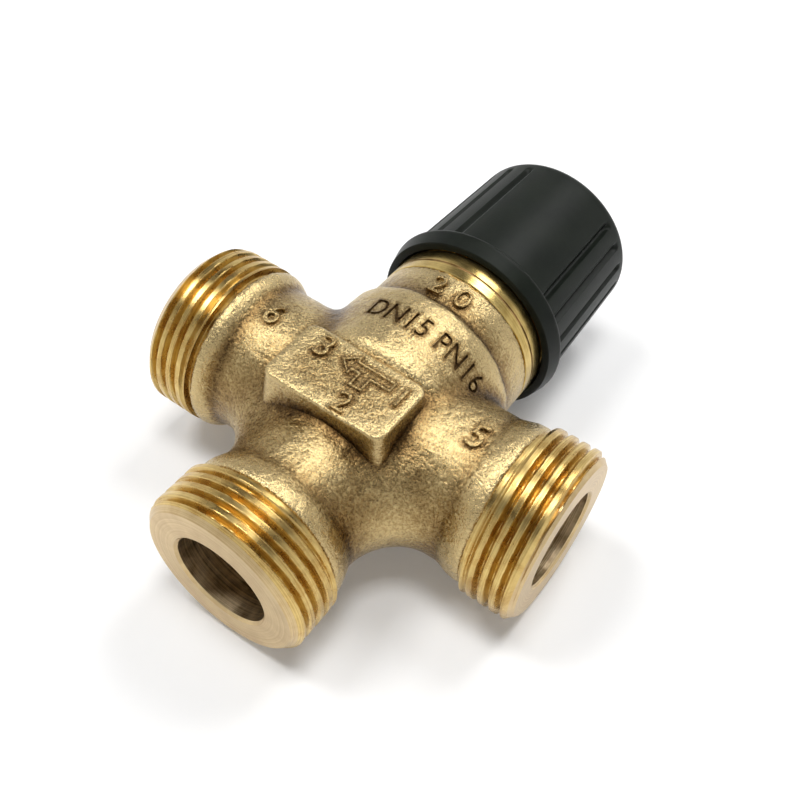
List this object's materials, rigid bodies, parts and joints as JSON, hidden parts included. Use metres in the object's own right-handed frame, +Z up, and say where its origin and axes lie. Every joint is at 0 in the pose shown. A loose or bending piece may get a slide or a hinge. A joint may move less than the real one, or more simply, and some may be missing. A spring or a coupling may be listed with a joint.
{
  "type": "three-way valve",
  "caption": "Small three-way seat valve with externally threaded ports in a T, a double seat with a spring-lifted stem inside, and a black hand knob on the bonnet.",
  "frame": {"origin": "the point where the axes of the three ports and the stem cross", "axes": "+X out of port A, -X out of port AB, -Y out of port B, +Y along the stem into the hand knob, +Z up through the cast pad as the valve lies"},
  "size_m": [0.065, 0.0856, 0.032],
  "materials": {
    "gunmetal": "sand-cast, with machined ports",
    "turned_brass": "turned",
    "stainless_steel": "turned",
    "seal_rubber": "moulded",
    "black_plastic": "fine moulded texture"
  },
  "bodies": {
    "valve": {"valve_body": "gunmetal", "bonnet": "turned_brass", "bonnet_seal": "seal_rubber", "seat_ring_a": "turned_brass", "stem_guide_bush": "turned_brass", "lower_stem_oring": "seal_rubber", "upper_stem_oring": "seal_rubber", "seal_spacer": "turned_brass", "gland_nut": "turned_brass", "wiper_ring": "seal_rubber", "return_spring": "stainless_steel"},
    "stem_and_plug": {"stem": "stainless_steel", "plug_carrier": "turned_brass", "upper_plug_seal": "seal_rubber", "lower_plug_seal": "seal_rubber", "plug_washer": "stainless_steel", "plug_nut": "turned_brass", "spring_cup": "stainless_steel", "stem_circlip": "stainless_steel"},
    "knob": {"adjusting_knob": "black_plastic", "thrust_pad": "stainless_steel"}
  },
  "joints": [
    {"name": "stem_lift", "type": "slide", "parent": "valve", "child": "stem_and_plug", "axis": [0, 1, 0], "range_m": [-0.004, 0], "deforming": ["return_spring"]},
    {"name": "knob_turn", "type": "hinge", "parent": "stem_and_plug", "child": "knob", "pos_m": [0, 0.04, 0], "axis": [0, 1, 0], "range_deg": [-960, 0]}
  ],
  "couplings": [
    {"joint": "knob_turn", "follows": "stem_lift", "rad_per_m": 4188.8}
  ]
}
